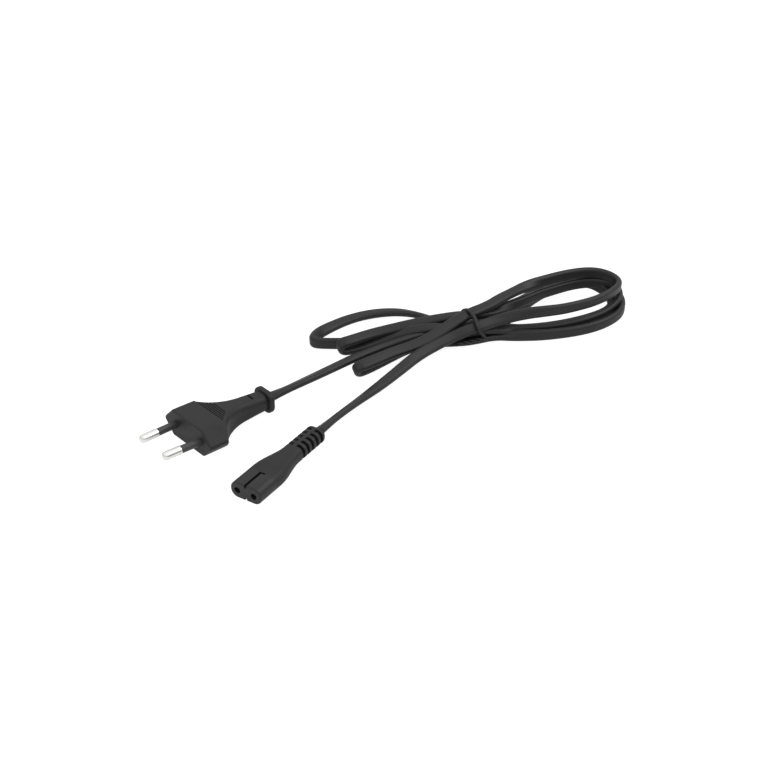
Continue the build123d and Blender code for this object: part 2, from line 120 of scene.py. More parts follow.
@dataclass(frozen=True)
class Finish(ABC):
    """A material: its name, two sRGB hex values that its patterns mix, and how its surface takes light."""

    name: str
    colour: str
    shade: str
    roughness: float
    metallic: float = 0.0
    ior: float = 1.5

    def build(self) -> bpy.types.Material:
        """Make the material: one shader, fed by the patterns of the finish. A metal keeps the default IOR.

        Returns:
            The material, with its nodes.
        """
        material = bpy.data.materials.new(self.name)
        material.use_nodes = True
        tree = material.node_tree
        tree.nodes.clear()
        inputs = {"Metallic": self.metallic, **self.patterns(tree)}
        if self.metallic == 0.0:
            inputs["IOR"] = self.ior
        shader = add_node(tree, "ShaderNodeBsdfPrincipled", inputs)
        add_node(tree, "ShaderNodeOutputMaterial", {"Surface": shader.outputs["BSDF"]})
        return material

    @abstractmethod
    def patterns(self, tree: bpy.types.NodeTree) -> dict[str, bpy.types.NodeSocket]:
        """Add the nodes of the patterns.

        Args:
            tree: Node tree of the material.

        Returns:
            The output that feeds each patterned input of the shader.
        """


@dataclass(frozen=True)
class MouldedPlastic(Finish):
    """Plastic moulded in a spark-eroded tool: satin, with a fine even grain and faint flow clouds.

    The real grain is about 0.1 mm and too fine to show, so it is drawn at 0.7 mm.
    """

    cloud_mm: float = 9.0
    cloud_detail: float = 3.0
    grain_mm: float = 0.7
    grain_detail: float = 2.0
    grain_height_mm: float = 0.02
    grain_strength: float = 0.35
    smoother: float = 0.04
    rougher: float = 0.05

    def patterns(self, tree: bpy.types.NodeTree) -> dict[str, bpy.types.NodeSocket]:
        """Clouds vary colour and gloss, and a noise as fine as the grain lifts the surface.

        Args:
            tree: Node tree of the material.

        Returns:
            The output that feeds each patterned input of the shader.
        """
        place = add_node(tree, "ShaderNodeTexCoord").outputs["Object"]
        cloud = add_node(tree, "ShaderNodeTexNoise", {
            "Vector": place, "Scale": 1.0 / (self.cloud_mm * MM), "Detail": self.cloud_detail,
        }).outputs["Fac"]
        grain = add_node(tree, "ShaderNodeTexNoise", {
            "Vector": place, "Scale": 1.0 / (self.grain_mm * MM), "Detail": self.grain_detail,
        }).outputs["Fac"]
        mixed = add_node(tree, "ShaderNodeMix", {
            "Factor": cloud, MIX_A: srgb(self.shade), MIX_B: srgb(self.colour),
        }, data_type="RGBA")
        gloss = add_node(tree, "ShaderNodeMapRange", {
            "Value": cloud, "From Min": NOISE_LOW, "From Max": NOISE_HIGH,
            "To Min": self.roughness - self.smoother, "To Max": self.roughness + self.rougher,
        })
        bump = add_node(tree, "ShaderNodeBump", {
            "Height": grain, "Strength": self.grain_strength, "Distance": self.grain_height_mm * MM,
        })
        return {
            "Base Color": mixed.outputs[MIX_RESULT],
            "Roughness": gloss.outputs["Result"],
            "Normal": bump.outputs["Normal"],
        }


@dataclass(frozen=True)
class ExtrudedPvc(Finish):
    """Soft PVC sheath, extruded: satin, with fine die lines along the flex and slight waves in its gloss.

    Real die lines are about 0.1 mm apart and too fine to show. The 26 that are drawn round the sheath are
    about 0.6 mm apart.
    """

    line_count: float = 26.0
    line_length_mm: float = 56.0
    line_detail: float = 2.0
    line_height_mm: float = 0.05
    line_strength: float = 0.25
    wave_mm: float = 14.0
    wave_detail: float = 2.0
    smoother: float = 0.05
    rougher: float = 0.06

    def patterns(self, tree: bpy.types.NodeTree) -> dict[str, bpy.types.NodeSocket]:
        """Die lines follow the UV map, whose U goes round the flex and whose V is its length in metres.

        Args:
            tree: Node tree of the material.

        Returns:
            The output that feeds each patterned input of the shader.
        """
        chart = add_node(tree, "ShaderNodeUVMap", uv_map=SHEATH_CHART).outputs["UV"]
        along = add_node(tree, "ShaderNodeMapping", {
            "Vector": chart, "Scale": (self.line_count, 1.0 / (self.line_length_mm * MM), 1.0),
        }).outputs["Vector"]
        lines = add_node(tree, "ShaderNodeTexNoise", {
            "Vector": along, "Scale": 1.0, "Detail": self.line_detail,
        }).outputs["Fac"]
        place = add_node(tree, "ShaderNodeTexCoord").outputs["Object"]
        wave = add_node(tree, "ShaderNodeTexNoise", {
            "Vector": place, "Scale": 1.0 / (self.wave_mm * MM), "Detail": self.wave_detail,
        }).outputs["Fac"]
        mixed = add_node(tree, "ShaderNodeMix", {
            "Factor": lines, MIX_A: srgb(self.shade), MIX_B: srgb(self.colour),
        }, data_type="RGBA")
        gloss = add_node(tree, "ShaderNodeMapRange", {
            "Value": wave, "From Min": NOISE_LOW, "From Max": NOISE_HIGH,
            "To Min": self.roughness - self.smoother, "To Max": self.roughness + self.rougher,
        })
        bump = add_node(tree, "ShaderNodeBump", {
            "Height": lines, "Strength": self.line_strength, "Distance": self.line_height_mm * MM,
        })
        return {
            "Base Color": mixed.outputs[MIX_RESULT],
            "Roughness": gloss.outputs["Result"],
            "Normal": bump.outputs["Normal"],
        }


@dataclass(frozen=True)
class TurnedMetal(Finish):
    """Metal that was turned, drawn or rolled, bare or plated: fine rings and a skin with duller patches.

    The real rings are about 0.05 mm apart and too fine to show, so they are drawn 1.58 mm apart.
    """

    ring_mm: float = 1.58
    ring_wobble: float = 1.5
    ring_detail: float = 2.0
    patch_mm: float = 2.5
    patch_detail: float = 3.0
    smoother: float = 0.03
    rougher: float = 0.05

    def patterns(self, tree: bpy.types.NodeTree) -> dict[str, bpy.types.NodeSocket]:
        """A wave along X draws the rings in the gloss, and a noise varies the colour in patches.

        Args:
            tree: Node tree of the material.

        Returns:
            The output that feeds each patterned input of the shader.
        """
        place = add_node(tree, "ShaderNodeTexCoord").outputs["Object"]
        rings = add_node(tree, "ShaderNodeTexWave", {
            "Vector": place, "Scale": math.tau / (WAVE_ANGLE * self.ring_mm * MM),
            "Distortion": self.ring_wobble, "Detail": self.ring_detail,
        }, bands_direction="X").outputs["Fac"]
        patch = add_node(tree, "ShaderNodeTexNoise", {
            "Vector": place, "Scale": 1.0 / (self.patch_mm * MM), "Detail": self.patch_detail,
        }).outputs["Fac"]
        mixed = add_node(tree, "ShaderNodeMix", {
            "Factor": patch, MIX_A: srgb(self.shade), MIX_B: srgb(self.colour),
        }, data_type="RGBA")
        gloss = add_node(tree, "ShaderNodeMapRange", {
            "Value": rings,
            "To Min": self.roughness - self.smoother, "To Max": self.roughness + self.rougher,
        })
        return {"Base Color": mixed.outputs[MIX_RESULT], "Roughness": gloss.outputs["Result"]}


class FinishKind(Enum):
    """Finishes of the object's pieces, each with its name, colour, shade and roughness."""

    # Soft overmould of plug and connector: an even black with broad, dull highlights.
    PLUG_PVC = MouldedPlastic("moulded_black_pvc", "#1b1b1d", "#131315", 0.54, ior=1.45)
    # Sheath of the flex: the same black with more gloss, so that its edges catch the light.
    SHEATH_PVC = ExtrudedPvc("extruded_black_pvc", "#1c1c1e", "#141416", 0.44, ior=1.43)
    # Harder mouldings: a glossier black nose, and sleeves of a dark grey that shows beside the pins.
    NOSE_PVC = MouldedPlastic("moulded_hard_pvc", "#19191b", "#121214", 0.44, ior=1.46)
    SLEEVE_POLYAMIDE = MouldedPlastic("moulded_black_polyamide", "#363638", "#2e2e30", 0.42, ior=1.53)
    # Coating of the tie: the deepest black, nearly without highlights.
    TIE_PVC = MouldedPlastic("coated_tie_wire_pvc", "#121214", "#0c0c0e", 0.52, ior=1.46)
    # Plated pins: near white, with soft reflections.
    PIN_NICKEL = TurnedMetal("nickel_plated_brass", "#f4f4f2", "#e6e6e2", 0.2, metallic=1.0)
    # Pieces inside: white carrier, brown and blue cores, copper, and brass whose colour is darkened as
    # painted shade, so that it stays dark in the entries.
    CARRIER_PBT = MouldedPlastic("moulded_white_pbt", "#d9d8d2", "#cdccc6", 0.5, ior=1.54)
    CORE_BROWN = MouldedPlastic("core_pvc_brown", "#5a3a22", "#4f321d", 0.45, ior=1.53)
    CORE_BLUE = MouldedPlastic("core_pvc_blue", "#2c5fa8", "#27559a", 0.45, ior=1.53)
    COPPER = TurnedMetal("stranded_copper", "#c98259", "#b5714b", 0.3, metallic=1.0)
    # Brass made darker than real brass: painted shade for the entries of the connector, where the contacts
    # show.
    CONTACT_BRASS_PAINTED_SHADE = TurnedMetal("rolled_brass_painted_shade", "#6e5a32", "#5c4a28", 0.34, metallic=1.0)


@dataclass
class FinishShelf:
    """Makes each finish once and hands it out."""

    made: dict[FinishKind, bpy.types.Material] = field(default_factory=dict)

    def get(self, kind: FinishKind) -> bpy.types.Material:
        """Hand out a finish, made at its first use.

        Args:
            kind: The finish.

        Returns:
            Its material.
        """
        if kind not in self.made:
            self.made[kind] = kind.value.build()
        return self.made[kind]

    def dress_node(self, node: str, kind: FinishKind) -> None:
        """Put a finish on a solid of the frame.

        Args:
            node: Name of the solid.
            kind: Finish for all of it.
        """
        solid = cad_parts[node]
        solid.data.materials.clear()
        solid.data.materials.append(self.get(kind))
        LOG.info("dressed %s in %s", node, kind.value.name)


@dataclass
class GridMesh:
    """Mesh from a grid of points in metres: rows along the first axis, one closed ring in each row."""

    name: str
    rings: np.ndarray
    caps: bool = True

    def build(self, lengths: np.ndarray | None = None) -> bpy.types.Object:
        """Join neighbouring rings with quads and close both ends with a fan.

        Quad (i, j) has the points (i, j), (i, j+1), (i+1, j+1) and (i+1, j), with j taken round the ring.

        Args:
            lengths: Distance of each ring along the piece, for a piece that has a UV map.

        Returns:
            The linked object, smooth shaded.
        """
        rows, count = self.rings.shape[:2]
        i, j = np.meshgrid(np.arange(rows - 1), np.arange(count), indexing="ij")
        k = (j + 1) % count
        corners = [i * count + j, i * count + k, (i + 1) * count + k, (i + 1) * count + j]
        faces = np.stack(corners, axis=-1).reshape(-1, 4).tolist()
        points = self.rings.reshape(-1, 3)
        if self.caps:
            around = np.arange(count)
            after = (around + 1) % count
            last = (rows - 1) * count
            first_tip = np.full(count, rows * count)
            last_tip = first_tip + 1
            tips = np.stack([self.rings[0].mean(axis=0), self.rings[-1].mean(axis=0)])
            points = np.concatenate([points, tips])
            faces += np.stack([first_tip, after, around], axis=-1).tolist()
            faces += np.stack([last_tip, last + around, last + after], axis=-1).tolist()
        mesh = bpy.data.meshes.new(self.name)
        mesh.from_pydata(points.tolist(), [], faces)
        mesh.polygons.foreach_set("use_smooth", np.ones(len(faces), dtype=bool))
        if lengths is not None:
            self.chart_rings(mesh, i, j, lengths)
        mesh.update()
        piece = bpy.data.objects.new(self.name, mesh)
        bpy.context.scene.collection.objects.link(piece)
        return piece

    def chart_rings(
        self, mesh: bpy.types.Mesh, i: np.ndarray, j: np.ndarray, lengths: np.ndarray,
    ) -> None:
        """Lay the UV map: U is the share of the ring, V the distance along the piece.

        Args:
            mesh: Mesh that gets the map.
            i: Ring number of each quad.
            j: Number of each quad in its ring.
            lengths: Distance of each ring along the piece.
        """
        u = np.stack([j, j + 1, j + 1, j], axis=-1) / self.rings.shape[1]
        v = np.stack([lengths[i], lengths[i], lengths[i + 1], lengths[i + 1]], axis=-1)
        quads = np.stack([u, v], axis=-1).reshape(-1, 2)
        values = np.zeros((len(mesh.loops), 2), dtype=np.float32)
        values[:len(quads)] = quads
        mesh.uv_layers.new(name=SHEATH_CHART).data.foreach_set("uv", values.ravel())


def flat_oval(width: float, thickness: float, count: int) -> np.ndarray:
    """Flat oval of two half circles joined by straight sides, with points evenly spaced along it.

    The distance s runs along the oval from the foot of the right half circle, up round it, back along the
    top, down round the left half circle and along the low side. The points start half way up the right.

    Args:
        width: Wide side over all.
        thickness: Thin side, twice the radius of the half circles.
        count: Number of points.

    Returns:
        Array of (wide, thin) coordinates.
    """
    radius = thickness / 2
    half = width / 2 - radius
    straight = 2 * half
    arc = math.pi * radius
    girth = 2 * (straight + arc)
    s = np.mod((np.arange(count) + 0.5) / count * girth + arc / 2, girth)
    right = s < arc
    top = (s >= arc) & (s < arc + straight)
    left = (s >= arc + straight) & (s < 2 * arc + straight)
    low = ~(right | top | left)
    turn = np.where(right, s / radius - math.pi / 2, (s - arc - straight) / radius + math.pi / 2)
    x = np.where(right, half, -half) + radius * np.cos(turn)
    y = radius * np.sin(turn)
    x = np.where(top, half - (s - arc), x)
    y = np.where(top, radius, y)
    x = np.where(low, -half + (s - 2 * arc - straight), x)
    y = np.where(low, -radius, y)
    return np.stack([x, y], axis=-1)


def spline_points(points: np.ndarray, name: str, steps: int) -> np.ndarray:
    """Points along a NURBS spline that has these control points and starts and ends on the outer two.

    Args:
        points: Control points in metres.
        name: Name of the short-lived curve.
        steps: Points for each span.

    Returns:
        Array of points, in order.
    """
    data = bpy.data.curves.new(name, "CURVE")
    data.dimensions = "3D"
    spline = data.splines.new("NURBS")
    spline.points.add(len(points) - 1)
    weighted = np.concatenate([points, np.ones((len(points), 1))], axis=1)
    spline.points.foreach_set("co", weighted.ravel())
    spline.order_u = SPLINE_ORDER
    spline.use_endpoint_u = True
    spline.resolution_u = steps
    curve = bpy.data.objects.new(name, data)
    bpy.context.scene.collection.objects.link(curve)
    bpy.context.view_layer.update()
    shown = curve.evaluated_get(bpy.context.evaluated_depsgraph_get())
    mesh = bpy.data.meshes.new_from_object(shown)
    line = np.zeros(len(mesh.vertices) * 3)
    mesh.vertices.foreach_get("co", line)
    bpy.data.meshes.remove(mesh)
    bpy.data.objects.remove(curve)
    bpy.data.curves.remove(data)
    return line.reshape(-1, 3)


def unit(vectors: np.ndarray) -> np.ndarray:
    """Vectors of length one."""
    return vectors / np.linalg.norm(vectors, axis=-1, keepdims=True)


def sweep(profile: np.ndarray, path: np.ndarray, first: np.ndarray, second: np.ndarray) -> np.ndarray:
    """Carry a flat profile along a path: each ring is the path's point plus the profile along two axes.

    Args:
        profile: Points of the profile, by its two axes.
        path: Points of the path.
        first: First axis of the profile at each point of the path.
        second: Second axis of the profile at each point of the path.

    Returns:
        Grid of points, one ring for each point of the path.
    """
    return path[:, None] + profile[None, :, :1] * first[:, None] + profile[None, :, 1:] * second[:, None]


@dataclass(frozen=True)
class Gates:
    """Where a strand passes the left and the right end of the tied waist: across, up and lean."""

    left: Point
    right: Point


class Pass(Enum):
    """Passes of the flex through the tie, in order from the plug to the connector.

    They are named for the turns before and after them: C, D, B and A are the round loops on the right,
    from the lowest to the topmost, L1 is the open loop on the left, and L2 and L3 are the far and the
    near hairpin.
    """

    LEAD_TO_C = Gates((4.6, 6.6, 90), (4.8, 6.8, 90))
    C_TO_L1 = Gates((-4.0, 2.6, 90), (-4.4, 2.75, 80))
    L1_TO_D = Gates((4.8, 2.75, 90), (4.6, 2.75, 90))
    D_TO_L2 = Gates((-0.6, 7.4, 80), (-0.8, 5.8, 60))
    L2_TO_B = Gates((5.6, 12.6, 90), (4.8, 10.6, 90))
    B_TO_L3 = Gates((-2.6, 7.4, 80), (-4.4, 6.8, 70))
    L3_TO_A = Gates((2.0, 14.6, 68), (4.2, 15.2, 80))
    A_TO_LEAD = Gates((-5.4, 10.6, 48), (-5.2, 11.6, 50))


@dataclass(frozen=True)
class Waist:
    """Tied middle of the hank: its place on the floor, its direction in degrees and its half length.

    Points of the hank are given along it, across it and up, from the tie. Where a point has a fourth
    value, that is the lean of the flex's wide side in degrees, from 0 for upright to 90 for flat.
    """

    tie: tuple[float, float] = (158.4, -22.0)
    heading: float = -17.0
    half_length: float = 7.0

    def along(self) -> np.ndarray:
        """Unit vector along the hank, from the left to the right."""
        turn = math.radians(self.heading)
        return np.array([math.cos(turn), math.sin(turn), 0.0])

    def across(self) -> np.ndarray:
        """Unit vector across the hank, away from the near side."""
        turn = math.radians(self.heading)
        return np.array([-math.sin(turn), math.cos(turn), 0.0])

    def to_frame(self, local: np.ndarray) -> np.ndarray:
        """Take points from the hank to the frame of the part.

        Args:
            local: Rows of along, across and up. Further columns aren't used.

        Returns:
            Rows of X, Y and Z in millimetres.
        """
        origin = np.array([*self.tie, 0.0])
        return origin + local[:, :1] * self.along() + local[:, 1:2] * self.across() + local[:, 2:3] * UP

    def crossing(self, way: Pass, to_right: bool) -> np.ndarray:
        """Both gates of a pass, in the order in which the flex takes them.

        Args:
            way: The pass.
            to_right: Whether the flex goes from left to right.

        Returns:
            Two rows of along, across, up and lean.
        """
        rows = np.array([(-self.half_length, *way.value.left), (self.half_length, *way.value.right)])
        return rows if to_right else rows[::-1]


@dataclass(frozen=True)
class Turn:
    """One turn of the flex: the pass that it starts from, and its points along, across and up with lean."""

    start: Pass
    to_right: bool
    path: tuple[LeaningPoint, ...]

    def points(self, waist: Waist) -> np.ndarray:
        """Gates of the pass before the turn, and the turn's own points.

        Args:
            waist: The tied middle.

        Returns:
            Rows of along, across, up and lean.
        """
        return np.concatenate([waist.crossing(self.start, self.to_right), np.array(self.path)])


@dataclass(frozen=True)
class Hank:
    """Folded part of the flex: its tied waist, and its turns from the plug's end to the connector's.

    The round loops on the right stand on the edge of the flex. The open loop on the left stands at its
    tip and lies flat along its far side. The two hairpins lie with their strands face to face.
    """

    waist: Waist = Waist()
    turns: tuple[Turn, ...] = (
        Turn(Pass.LEAD_TO_C, True, (
            (14.0, 7.0, 7.2, 70), (24.0, 12.4, 6.7, 30), (34.0, 16.8, 5.2, 0), (44.0, 20.8, 5.2, 0),
            (54.0, 23.2, 5.2, 0), (64.0, 23.9, 5.8, 0), (73.0, 21.8, 6.2, 0), (80.2, 16.4, 5.8, 0),
            (84.8, 8.2, 4.6, 0), (86.2, -0.4, 3.7, 0), (82.2, -7.8, 3.2, 0), (76.5, -13.6, 3.1, 0),
            (68.0, -17.4, 3.1, 0), (58.0, -19.4, 3.1, 0), (48.0, -19.3, 3.1, 0), (37.6, -17.6, 3.1, 0),
            (27.3, -14.8, 3.1, 8), (17.0, -10.4, 3.2, 25))),
        Turn(Pass.C_TO_L1, False, (
            (-16.0, -0.8, 2.4, 90), (-28.0, 4.2, 2.3, 90), (-40.0, 9.2, 2.5, 75), (-52.0, 14.0, 2.9, 45),
            (-62.0, 18.0, 3.2, 20), (-70.4, 22.0, 3.3, 5), (-76.6, 25.0, 3.3, 0), (-79.4, 27.4, 3.2, 0),
            (-79.6, 30.0, 3.2, 4), (-77.0, 33.1, 3.1, 20), (-72.4, 36.3, 2.8, 45), (-65.5, 39.6, 2.4, 68),
            (-55.0, 43.0, 2.15, 80), (-45.0, 43.8, 2.2, 84), (-35.5, 42.2, 2.4, 90),
            (-26.8, 38.0, 2.8, 100), (-19.8, 30.4, 3.3, 112), (-15.6, 22.0, 3.7, 100),
            (-13.4, 14.0, 3.5, 92), (-11.4, 8.2, 3.0, 90))),
        Turn(Pass.L1_TO_D, True, (
            (14.0, 4.6, 2.95, 75), (24.0, 8.0, 3.4, 30), (34.0, 12.8, 4.6, 0), (44.0, 16.8, 5.8, 0),
            (54.0, 19.2, 6.8, 0), (63.0, 19.8, 7.8, 0), (71.0, 18.2, 8.2, 0), (77.2, 14.0, 7.6, 0),
            (80.8, 6.6, 5.8, 0), (79.6, -1.4, 4.1, 0), (75.0, -7.0, 3.3, 0), (68.0, -10.0, 3.1, 0),
            (58.0, -11.2, 3.1, 0), (48.0, -11.2, 3.1, 0), (38.0, -10.2, 3.1, 0), (28.0, -8.0, 3.1, 0),
            (17.0, -4.6, 3.2, 15))),
        Turn(Pass.D_TO_L2, False, (
            (-15.0, 1.6, 8.8, 80), (-23.0, 5.4, 9.4, 75), (-32.0, 9.6, 8.2, 68), (-41.0, 13.0, 5.8, 62),
            (-50.0, 14.0, 3.8, 68), (-61.0, 14.2, 2.5, 74), (-66.0, 14.6, 2.5, 74), (-68.8, 15.2, 2.6, 70),
            (-70.6, 15.4, 4.0, 66), (-70.6, 14.9, 6.2, 62), (-68.9, 14.3, 7.6, 62), (-66.4, 14.3, 7.6, 62),
            (-61.8, 14.9, 7.6, 62), (-54.0, 15.8, 7.6, 62), (-44.0, 15.5, 8.0, 64), (-33.0, 13.9, 9.0, 70),
            (-23.0, 11.4, 10.4, 78), (-14.0, 8.2, 11.8, 86))),
        Turn(Pass.L2_TO_B, True, (
            (14.0, 5.4, 10.6, 65), (24.0, 8.4, 9.4, 20), (34.0, 11.2, 9.0, 0), (44.0, 13.8, 8.8, 0),
            (55.0, 15.5, 8.5, 0), (65.0, 15.8, 8.7, 0), (73.0, 14.0, 9.1, 0), (79.3, 9.7, 9.4, 0),
            (85.5, 3.4, 8.7, 0), (83.4, -4.0, 6.0, 0), (76.2, -8.8, 5.1, -6), (68.0, -12.4, 4.8, -12),
            (60.0, -14.2, 4.8, -14), (51.0, -14.8, 4.8, -14), (40.0, -14.0, 4.5, -8), (29.7, -11.6, 4.2, 2),
            (18.0, -7.4, 4.4, 25))),
        Turn(Pass.B_TO_L3, False, (
            (-16.0, -1.2, 6.2, 80), (-25.0, 1.2, 4.8, 78), (-34.0, 2.2, 3.8, 70), (-43.0, 1.4, 3.2, 62),
            (-52.0, -1.2, 2.8, 62), (-62.0, -4.4, 2.6, 62), (-68.0, -6.1, 2.6, 62), (-70.4, -6.3, 2.6, 62),
            (-71.9, -7.0, 4.0, 62), (-71.9, -8.0, 5.8, 62), (-70.4, -8.7, 7.1, 62), (-68.0, -8.6, 7.1, 62),
            (-61.0, -7.0, 7.2, 62), (-52.0, -5.0, 7.5, 62), (-43.0, -4.3, 7.8, 60), (-34.0, -3.8, 8.7, 58),
            (-25.0, -2.2, 10.4, 56), (-16.0, 0.0, 12.6, 60))),
        Turn(Pass.L3_TO_A, True, (
            (15.0, 6.9, 15.9, 70), (25.0, 10.2, 16.1, 88), (36.0, 13.4, 16.0, 48), (47.0, 15.3, 15.5, 4),
            (58.0, 16.1, 15.4, 0), (68.5, 15.1, 15.4, 0), (76.4, 12.8, 15.1, 0), (82.2, 8.0, 14.3, 0),
            (84.2, 1.2, 13.5, 0), (80.8, -4.8, 13.8, -4), (73.5, -9.2, 14.2, -8), (66.0, -12.5, 14.8, -12),
            (58.0, -14.3, 14.9, -12), (49.0, -14.6, 14.9, -10), (40.0, -14.1, 14.8, -4),
            (31.0, -12.2, 14.8, 4), (22.8, -9.8, 14.5, 22), (14.7, -7.2, 13.2, 38))),
    )
    last: Pass = Pass.A_TO_LEAD

    def route(self) -> tuple[np.ndarray, np.ndarray]:
        """Control points of all turns, and the direction of the flex's wide side at each.

        Returns:
            Points in millimetres in the frame of the part, and unit vectors.
        """
        rows = [turn.points(self.waist) for turn in self.turns]
        rows.append(self.waist.crossing(self.last, to_right=False))
        local = np.concatenate(rows)
        lean = np.radians(local[:, 3:])
        return self.waist.to_frame(local), np.sin(lean) * self.waist.across() + np.cos(lean) * UP


@dataclass(frozen=True)
class Lead:
    """Free stretch of the flex: points with the roll of its wide side out of the level, in degrees."""

    level: Point
    path: tuple[LeaningPoint, ...]

    def route(self) -> tuple[np.ndarray, np.ndarray]:
        """Control points of the stretch, and the direction of the flex's wide side at each.

        Returns:
            Points in millimetres in the frame of the part, and unit vectors.
        """
        rows = np.array(self.path)
        roll = np.radians(rows[:, 3:])
        return rows[:, :3], np.cos(roll) * np.array(self.level) + np.sin(roll) * UP


@dataclass
class MainsFlex:
    """Flat two-core flex from the back of the plug, through the hank, to the connector."""

    width: float = 6.0
    thickness: float = 3.4
    length_m: float = 1.48
    ring_points: int = 32
    spline_steps: int = 8
    least_step: float = 0.01
    least_area_m2: float = 2.5e-16
    far_pieces: tuple[str, ...] = ("connector_", "contact_")
    hank: Hank = field(default_factory=Hank)
    plug_lead: Lead = Lead((0.0, 1.0, 0.0), (
        (39.0, 0.0, 5.51, 0), (45.0, 0.0, 5.4, -20), (52.0, 0.0, 5.3, -32), (62.0, 0.1, 5.2, -26),
        (77.0, 0.2, 5.1, -20), (93.0, 0.0, 5.4, -16), (107.0, -1.2, 5.6, -18), (121.5, -3.4, 5.8, -20),
        (133.0, -6.4, 6.1, -12), (144.0, -10.6, 6.4, -4)))
    connector_lead: Lead = Lead((-0.26, 0.96, 0.0), (
        (141.0, -21.6, 8.4, 42), (132.4, -20.2, 7.3, 42), (118.0, -19.5, 5.8, 34), (102.0, -22.1, 4.1, 8),
        (86.0, -25.4, 3.5, -12), (72.0, -28.0, 3.5, -38), (58.0, -31.0, 3.8, -48), (47.0, -33.8, 4.0, -45),
        (40.0, -35.6, 4.0, -25)))

    def control(self) -> tuple[np.ndarray, np.ndarray]:
        """Control points of the whole route and the wide direction at each, turned to agree with the last.

        Returns:
            Points in millimetres and unit vectors.
        """
        parts = (self.plug_lead.route(), self.hank.route(), self.connector_lead.route())
        points = np.concatenate([part[0] for part in parts])
        wides = np.concatenate([part[1] for part in parts])
        opposed = np.sum(wides[1:] * wides[:-1], axis=1) < 0
        signs = np.concatenate([[1.0], np.cumprod(np.where(opposed, -1.0, 1.0))])
        return points, wides * signs[:, None]

    def line(self) -> tuple[np.ndarray, np.ndarray]:
        """Centreline and wide direction, both read from NURBS splines of the same knots.

        The second spline runs along one edge of the flex. The way to it from the centreline, made square
        to the line, is the wide direction. Points that fall together are taken once.

        Returns:
            Points in metres and unit vectors.
        """
        points, wides = self.control()
        centre = spline_points(points * MM, "flex_route", self.spline_steps)
        edge = spline_points((points + wides * self.width / 2) * MM, "flex_edge", self.spline_steps)
        steps = np.linalg.norm(np.diff(centre, axis=0), axis=1)
        apart = np.concatenate([[True], steps > self.least_step * MM])
        centre, edge = centre[apart], edge[apart]
        tangent = unit(np.gradient(centre, axis=0))
        wide = edge - centre
        wide = unit(wide - np.sum(wide * tangent, axis=1, keepdims=True) * tangent)
        return centre, wide

    def tightest(self, centre: np.ndarray) -> tuple[float, np.ndarray]:
        """Smallest bend radius of the centreline, from the circle through each three neighbouring points.

        Its radius is the product of the triangle's sides over four times the triangle's area, which is
        held above a least value, because a straight stretch has none.

        Args:
            centre: Points in metres.

        Returns:
            The radius and the place, in millimetres.
        """
        a, b, c = centre[:-2], centre[1:-1], centre[2:]
        sides = [np.linalg.norm(q - p, axis=1) for p, q in ((a, b), (b, c), (a, c))]
        area = np.linalg.norm(np.cross(b - a, c - a), axis=1) / 2
        radius = sides[0] * sides[1] * sides[2] / (4 * np.maximum(area, self.least_area_m2))
        least = int(np.argmin(radius))
        return float(radius[least] / MM), b[least] / MM

    def build(self, shelf: FinishShelf) -> bpy.types.Object:
        """Carry the flat oval along the line: wide axis from the edge spline, thin axis square to it.

        Args:
            shelf: Finishes.

        Returns:
            The flex, parented to the body's empty.
        """
        centre, wide = self.line()
        thin = np.cross(unit(np.gradient(centre, axis=0)), wide)
        rings = sweep(flat_oval(self.width, self.thickness, self.ring_points) * MM, centre, wide, thin)
        steps = np.linalg.norm(np.diff(centre, axis=0), axis=1)
        lengths = np.concatenate([[0.0], np.cumsum(steps)])
        piece = GridMesh("mains_flex", rings).build(lengths)
        piece.data.materials.append(shelf.get(FinishKind.SHEATH_PVC))
        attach(piece, BODY)
        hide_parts("cord_plug_lead", "cord_hank", "cord_connector_lead")
        bend, place = self.tightest(centre)
        LOG.info("flex: %.3f m, %d rings, heights %.2f to %.2f mm", lengths[-1], len(rings),
                 rings[..., 2].min() / MM, rings[..., 2].max() / MM)
        LOG.info("tightest bend: %.2f mm at %s", bend, np.round(place, 1).tolist())
        return piece


